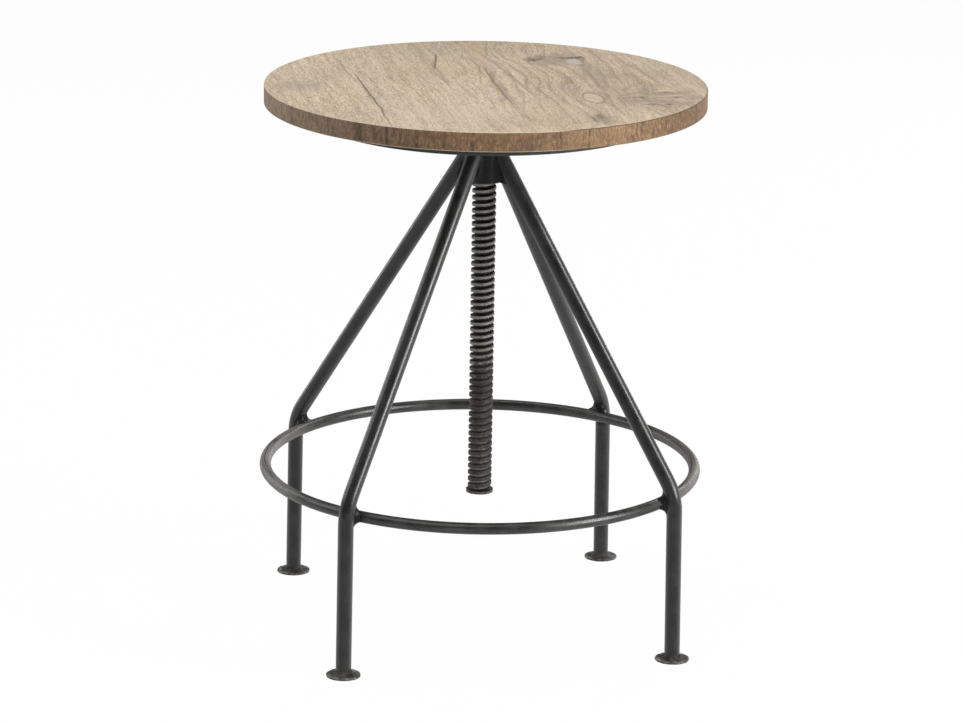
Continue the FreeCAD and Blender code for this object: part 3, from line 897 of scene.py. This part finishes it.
rings = times(tree, step(tree, rings, 0.5, 0.0), step(tree, swirl, 1.8, 0.8))
tone = mixed(tree, times(tree, rings, 0.34), tone, colour(124, 107, 93))
for middle_x, middle_y in PIN_HOLES:
    stain = times(tree, patch(middle_x, middle_y, 0.0085, 0.0052), 0.60)
    tone = mixed(tree, stain, tone, colour(104, 89, 77))

# Splits and pin holes are dark inside.
reach = level_reach(tree, place)
sunk = times(tree, step(tree, z, seat_top - 0.00008, seat_top - 0.00045), step(tree, reach, 0.1985, 0.1975))
sunk = times(tree, sunk, step(tree, z, seat_top - 0.004, seat_top - 0.003))
tone = mixed(tree, times(tree, sunk, 0.70), tone, colour(122, 104, 89))

# Sawn edge: browner than the top, grey-brown on the left and golden on the right, with fine upright
# grain, clusters of dark strokes, charcoal smudges and a few dark checks. Its upper arris is rubbed pale
# on the left and dirty on the right.
right = rightward(tree, place)
edge_tone = mixed(tree, step(tree, right, -0.15, -0.02), colour(138, 116, 95), colour(127, 99, 71))
edge_tone = mixed(tree, step(tree, right, 0.0, 0.10), edge_tone, colour(137, 107, 76))
edge_tone = mixed(tree, step(tree, right, 0.11, 0.18), edge_tone, colour(110, 86, 61))
upright = noise(tree, place, (0.0015, 0.0015, 0.0040), 3.0, 0.65)
strokes = noise(tree, place, (0.0035, 0.0035, 0.020), 3.0, 0.6)
edge_clouds = noise(tree, place, (0.010, 0.010, 0.012), 4.0, 0.65)
clusters = step(tree, noise(tree, place, (0.030, 0.030, 0.050), 2.0), 0.42, 0.58)
stroke_share = maths(tree, "MULTIPLY_ADD", clusters, 0.45, 0.20)
dark_strokes = times(tree, step(tree, strokes, 0.48, 0.34), stroke_share)
edge_tone = mixed(tree, dark_strokes, edge_tone, colour(68, 54, 42))
dark_grain = times(tree, step(tree, upright, 0.49, 0.36), 0.45)
edge_tone = mixed(tree, dark_grain, edge_tone, colour(76, 59, 45))
pale_grain = times(tree, step(tree, upright, 0.52, 0.66), 0.32)
edge_tone = mixed(tree, pale_grain, edge_tone, colour(196, 166, 130))
dark_clouds = times(tree, step(tree, edge_clouds, 0.46, 0.32), 0.35)
edge_tone = mixed(tree, dark_clouds, edge_tone, colour(72, 58, 46))
soot = times(tree, step(tree, right, -0.01, 0.01), step(tree, right, 0.085, 0.06))
soot = times(tree, soot, step(tree, noise(tree, place, (0.014, 0.014, 0.009), 4.0, 0.6), 0.46, 0.60))
edge_tone = mixed(tree, times(tree, soot, 0.38), edge_tone, colour(70, 59, 50))
for middle, half_width in (
    (-0.110, 0.0050),
    (-0.085, 0.0016),
    (-0.059, 0.0022),
    (0.065, 0.0016),
    (0.090, 0.0012),
    (0.1864, 0.0009),
):
    away = maths(tree, "ABSOLUTE", maths(tree, "SUBTRACT", right, middle))
    check = times(tree, step(tree, away, half_width, half_width * 0.3), step(tree, edge_clouds, 0.70, 0.45))
    edge_tone = mixed(tree, times(tree, check, 0.6), edge_tone, colour(58, 46, 38))
lower_arris = times(tree, step(tree, z, low.z + 0.0018, low.z + 0.0009), 0.08)
edge_tone = mixed(tree, lower_arris, edge_tone, colour(176, 162, 144))
facing = maths(tree, "ABSOLUTE", split(tree, texture_place["Normal"])["Z"])
rim = step(tree, reach, 0.196, 0.198)
arris = times(tree, rim, step(tree, facing, 0.985, 0.93), step(tree, facing, 0.30, 0.45))
dirty = step(tree, right, 0.06, 0.08)
arris_tone = mixed(tree, dirty, colour(216, 200, 178), colour(48, 37, 28))
arris_share = maths(tree, "MULTIPLY_ADD", dirty, 0.35, 0.55)
tone = mixed(tree, times(tree, arris, arris_share), tone, arris_tone)
edge = times(tree, rim, step(tree, facing, 0.60, 0.35))
tone = mixed(tree, edge, tone, edge_tone)

tree.links.new(tone, shader.inputs["Base Color"])
tree.links.new(maths(tree, "MULTIPLY_ADD", figure, -0.12, 0.68), shader.inputs["Roughness"])
shader.inputs["Specular IOR Level"].default_value = 0.3
relief = maths(tree, "MULTIPLY_ADD", threads, 0.5, times(tree, fibres, 0.5))
edge_relief = times(tree, upright, 0.8)
relief = node(tree, "Mix", {0: edge, 2: relief, 3: edge_relief}).outputs[0]
bump(tree, shader, relief, 0.0005, 0.5)
fit_piece(board, "seat", "seat_wood", seat_wood, "seat_board")


# Studio: a white floor that keeps a faint shadow, a white backdrop, and soft lights above, at both
# sides and behind, with the room in front left dim.
FLOOR_SIZE = 60.0
FLOOR_GLOW = 0.97
WHITE = (1.0, 1.0, 1.0, 1.0)
bpy.ops.object.select_all(action="DESELECT")
bpy.ops.mesh.primitive_plane_add(size=FLOOR_SIZE, location=(0, 0, 0))
floor = bpy.context.object
floor.name = "studio_floor"
floor_white = bpy.data.materials.new("Studio floor")
floor_white.use_nodes = True
tree = floor_white.node_tree
tree.nodes.clear()
ray = node(tree, "LightPath", {}).outputs
seen = maths(tree, "MAXIMUM", ray["Is Camera Ray"], ray["Is Glossy Ray"])
matt = node(tree, "BsdfDiffuse", {"Color": (0.8, 0.8, 0.8, 1.0)}).outputs["BSDF"]
level = maths(tree, "MULTIPLY_ADD", ray["Is Camera Ray"], 0.25, 0.75)
glow = node(tree, "Emission", {"Color": WHITE, "Strength": level}).outputs["Emission"]
veil = node(tree, "MixShader", {0: FLOOR_GLOW, 1: matt, 2: glow}).outputs["Shader"]
shown = node(tree, "MixShader", {0: seen, 1: matt, 2: veil}).outputs["Shader"]
node(tree, "OutputMaterial", {"Surface": shown})
floor.data.materials.append(floor_white)

world = bpy.data.worlds.new("Studio surround")
bpy.context.scene.world = world
world.use_nodes = True
tree = world.node_tree
tree.nodes.clear()
ray = node(tree, "LightPath", {}).outputs
level = maths(tree, "MULTIPLY_ADD", ray["Is Camera Ray"], 0.75, 0.25)
surround = node(tree, "Background", {"Color": WHITE, "Strength": level}).outputs["Background"]
node(tree, "OutputWorld", {"Surface": surround})


def soft_light(name, place, aim, width, height, power):
    """A rectangular soft light at a place, turned towards a point."""
    lamp = bpy.data.lights.new(name, "AREA")
    lamp.shape = "RECTANGLE"
    lamp.size = width
    lamp.size_y = height
    lamp.energy = power
    holder = bpy.data.objects.new(name, lamp)
    holder.location = place
    holder.rotation_euler = (Vector(aim) - Vector(place)).to_track_quat("-Z", "Y").to_euler()
    bpy.context.scene.collection.objects.link(holder)


soft_light("overhead_light", (-0.4, 0.0, 2.6), (0, 0, 0.3), 2.4, 2.4, 30)
soft_light("right_low_light", (1.80, -1.58, 0.84), (0, 0, 0.35), 1.1, 0.6, 38)
soft_light("right_high_light", (1.98, -1.36, 1.95), (0, 0, 0.35), 0.65, 0.7, 31)
soft_light("back_right_strip", (1.7, 1.9, 1.1), (0, 0, 0.3), 0.5, 2.0, 18)
soft_light("back_left_strip", (-1.7, 1.9, 1.1), (0, 0, 0.3), 0.5, 2.0, 14)
soft_light("left_light", (-2.32, 0.4, 1.55), (0, 0, 0.3), 1.0, 1.2, 11)


# Camera: a long lens in front of the stool and a little to its left, above seat height, looking
# down by about fifteen degrees and rolled by one.
CAMERA_DISTANCE = 3.851
CAMERA_HEIGHT = 1.313
CAMERA_TURN = math.radians(11.13)
CAMERA_PITCH = math.radians(15.511)
CAMERA_ROLL = math.radians(0.943)
CAMERA_LENS = 162.94
SENSOR_WIDTH = 36.0
ahead = Vector((math.sin(CAMERA_TURN), math.cos(CAMERA_TURN), 0))
level_right = Vector((math.cos(CAMERA_TURN), -math.sin(CAMERA_TURN), 0))
forward = ahead * math.cos(CAMERA_PITCH) - Vector((0, 0, 1)) * math.sin(CAMERA_PITCH)
level_up = level_right.cross(forward)
picture_right = level_right * math.cos(CAMERA_ROLL) + level_up * math.sin(CAMERA_ROLL)
picture_up = level_up * math.cos(CAMERA_ROLL) - level_right * math.sin(CAMERA_ROLL)
camera_data = bpy.data.cameras.new("photo_camera")
camera_data.sensor_fit = "HORIZONTAL"
camera_data.sensor_width = SENSOR_WIDTH
camera_data.lens = CAMERA_LENS
camera = bpy.data.objects.new("photo_camera", camera_data)
bpy.context.scene.collection.objects.link(camera)
turn = Matrix((picture_right, picture_up, -forward)).transposed().to_4x4()
camera.matrix_world = Matrix.Translation(Vector((0, 0, CAMERA_HEIGHT)) - ahead * CAMERA_DISTANCE) @ turn
bpy.context.scene.camera = camera
bpy.context.scene.view_settings.view_transform = "Standard"
